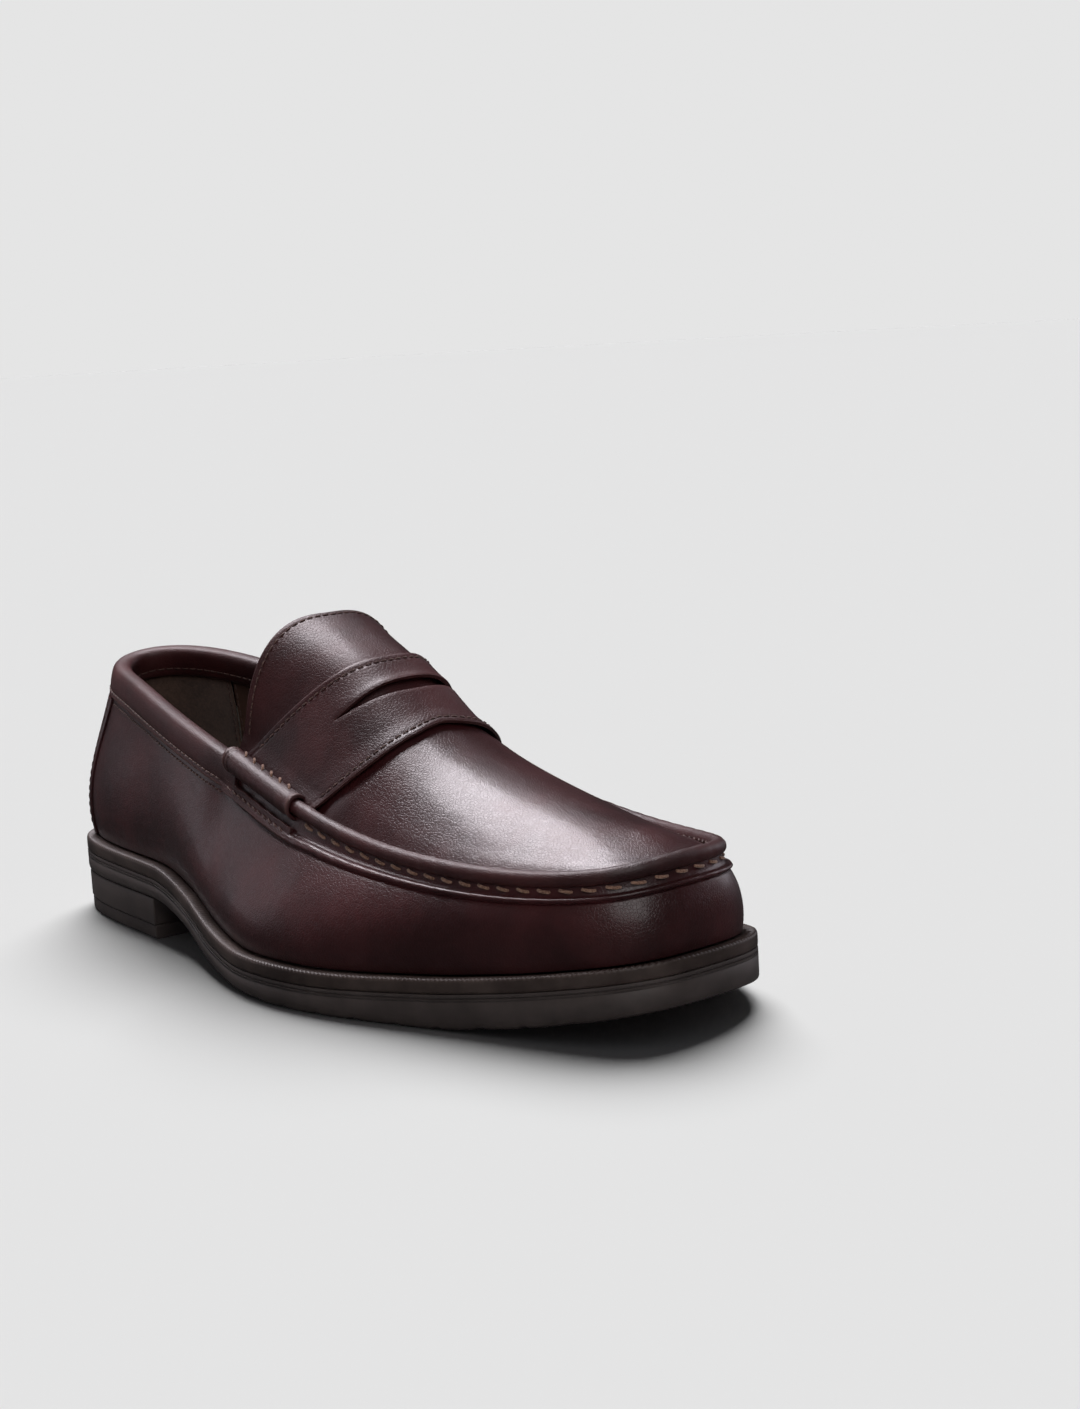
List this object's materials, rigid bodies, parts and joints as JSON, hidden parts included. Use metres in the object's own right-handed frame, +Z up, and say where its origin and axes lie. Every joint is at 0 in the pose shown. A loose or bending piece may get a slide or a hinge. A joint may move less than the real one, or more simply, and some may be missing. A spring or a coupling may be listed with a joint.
{
  "type": "penny loafer shoe",
  "caption": "Men's penny loafer, right shoe: leather moccasin upper with slotted saddle strap, rolled apron seam, welted rubber sole and low block heel, fully lined",
  "frame": {"origin": "Middle of the sole's footprint on the ground: x and y at the middle of the bounding box, z = 0 on the ground under the heel and the forefoot.", "axes": "+Z up. The toe points along -Y and the heel along +Y. The lateral (outer) side of this right shoe is -X and the medial side is +X."},
  "size_m": [0.1093, 0.3029, 0.1075],
  "materials": {
    "upper_leather": "polished, fine grain",
    "lining_leather": "matte, unpolished",
    "grip_suede": "brushed suede",
    "sole_rubber": "matte moulded",
    "welt_leather": "waxed, ribbed top",
    "thread": "waxed twist",
    "cork": "granular, raw",
    "fibreboard": "raw board",
    "stiffener": "matte thermoplastic sheet",
    "spring_steel": "plain",
    "pad_foam": "brushed cover over foam"
  },
  "bodies": {
    "root": {"apron": "upper_leather", "apron_lining": "lining_leather", "back_stay": "upper_leather", "beef_roll_lateral": "upper_leather", "beef_roll_medial": "upper_leather", "collar_binding": "upper_leather", "cork_filler": "cork", "heel_block": "sole_rubber", "heel_counter": "stiffener", "heel_grip": "grip_suede", "heel_nail_1": "spring_steel", "heel_nail_2": "spring_steel", "heel_nail_3": "spring_steel", "heel_nail_4": "spring_steel", "heel_nail_5": "spring_steel", "heel_pad": "pad_foam", "heel_top_lift": "sole_rubber", "insole_board": "fibreboard", "moc_roll": "upper_leather", "moc_stitching": "thread", "outsole": "sole_rubber", "quarter_lining_lateral": "lining_leather", "quarter_lining_medial": "lining_leather", "saddle_strap": "upper_leather", "shank": "spring_steel", "sock_liner": "lining_leather", "toe_puff": "stiffener", "tongue": "upper_leather", "tongue_lining": "lining_leather", "vamp": "upper_leather", "vamp_lining": "lining_leather", "welt": "welt_leather"}
  },
  "joints": []
}
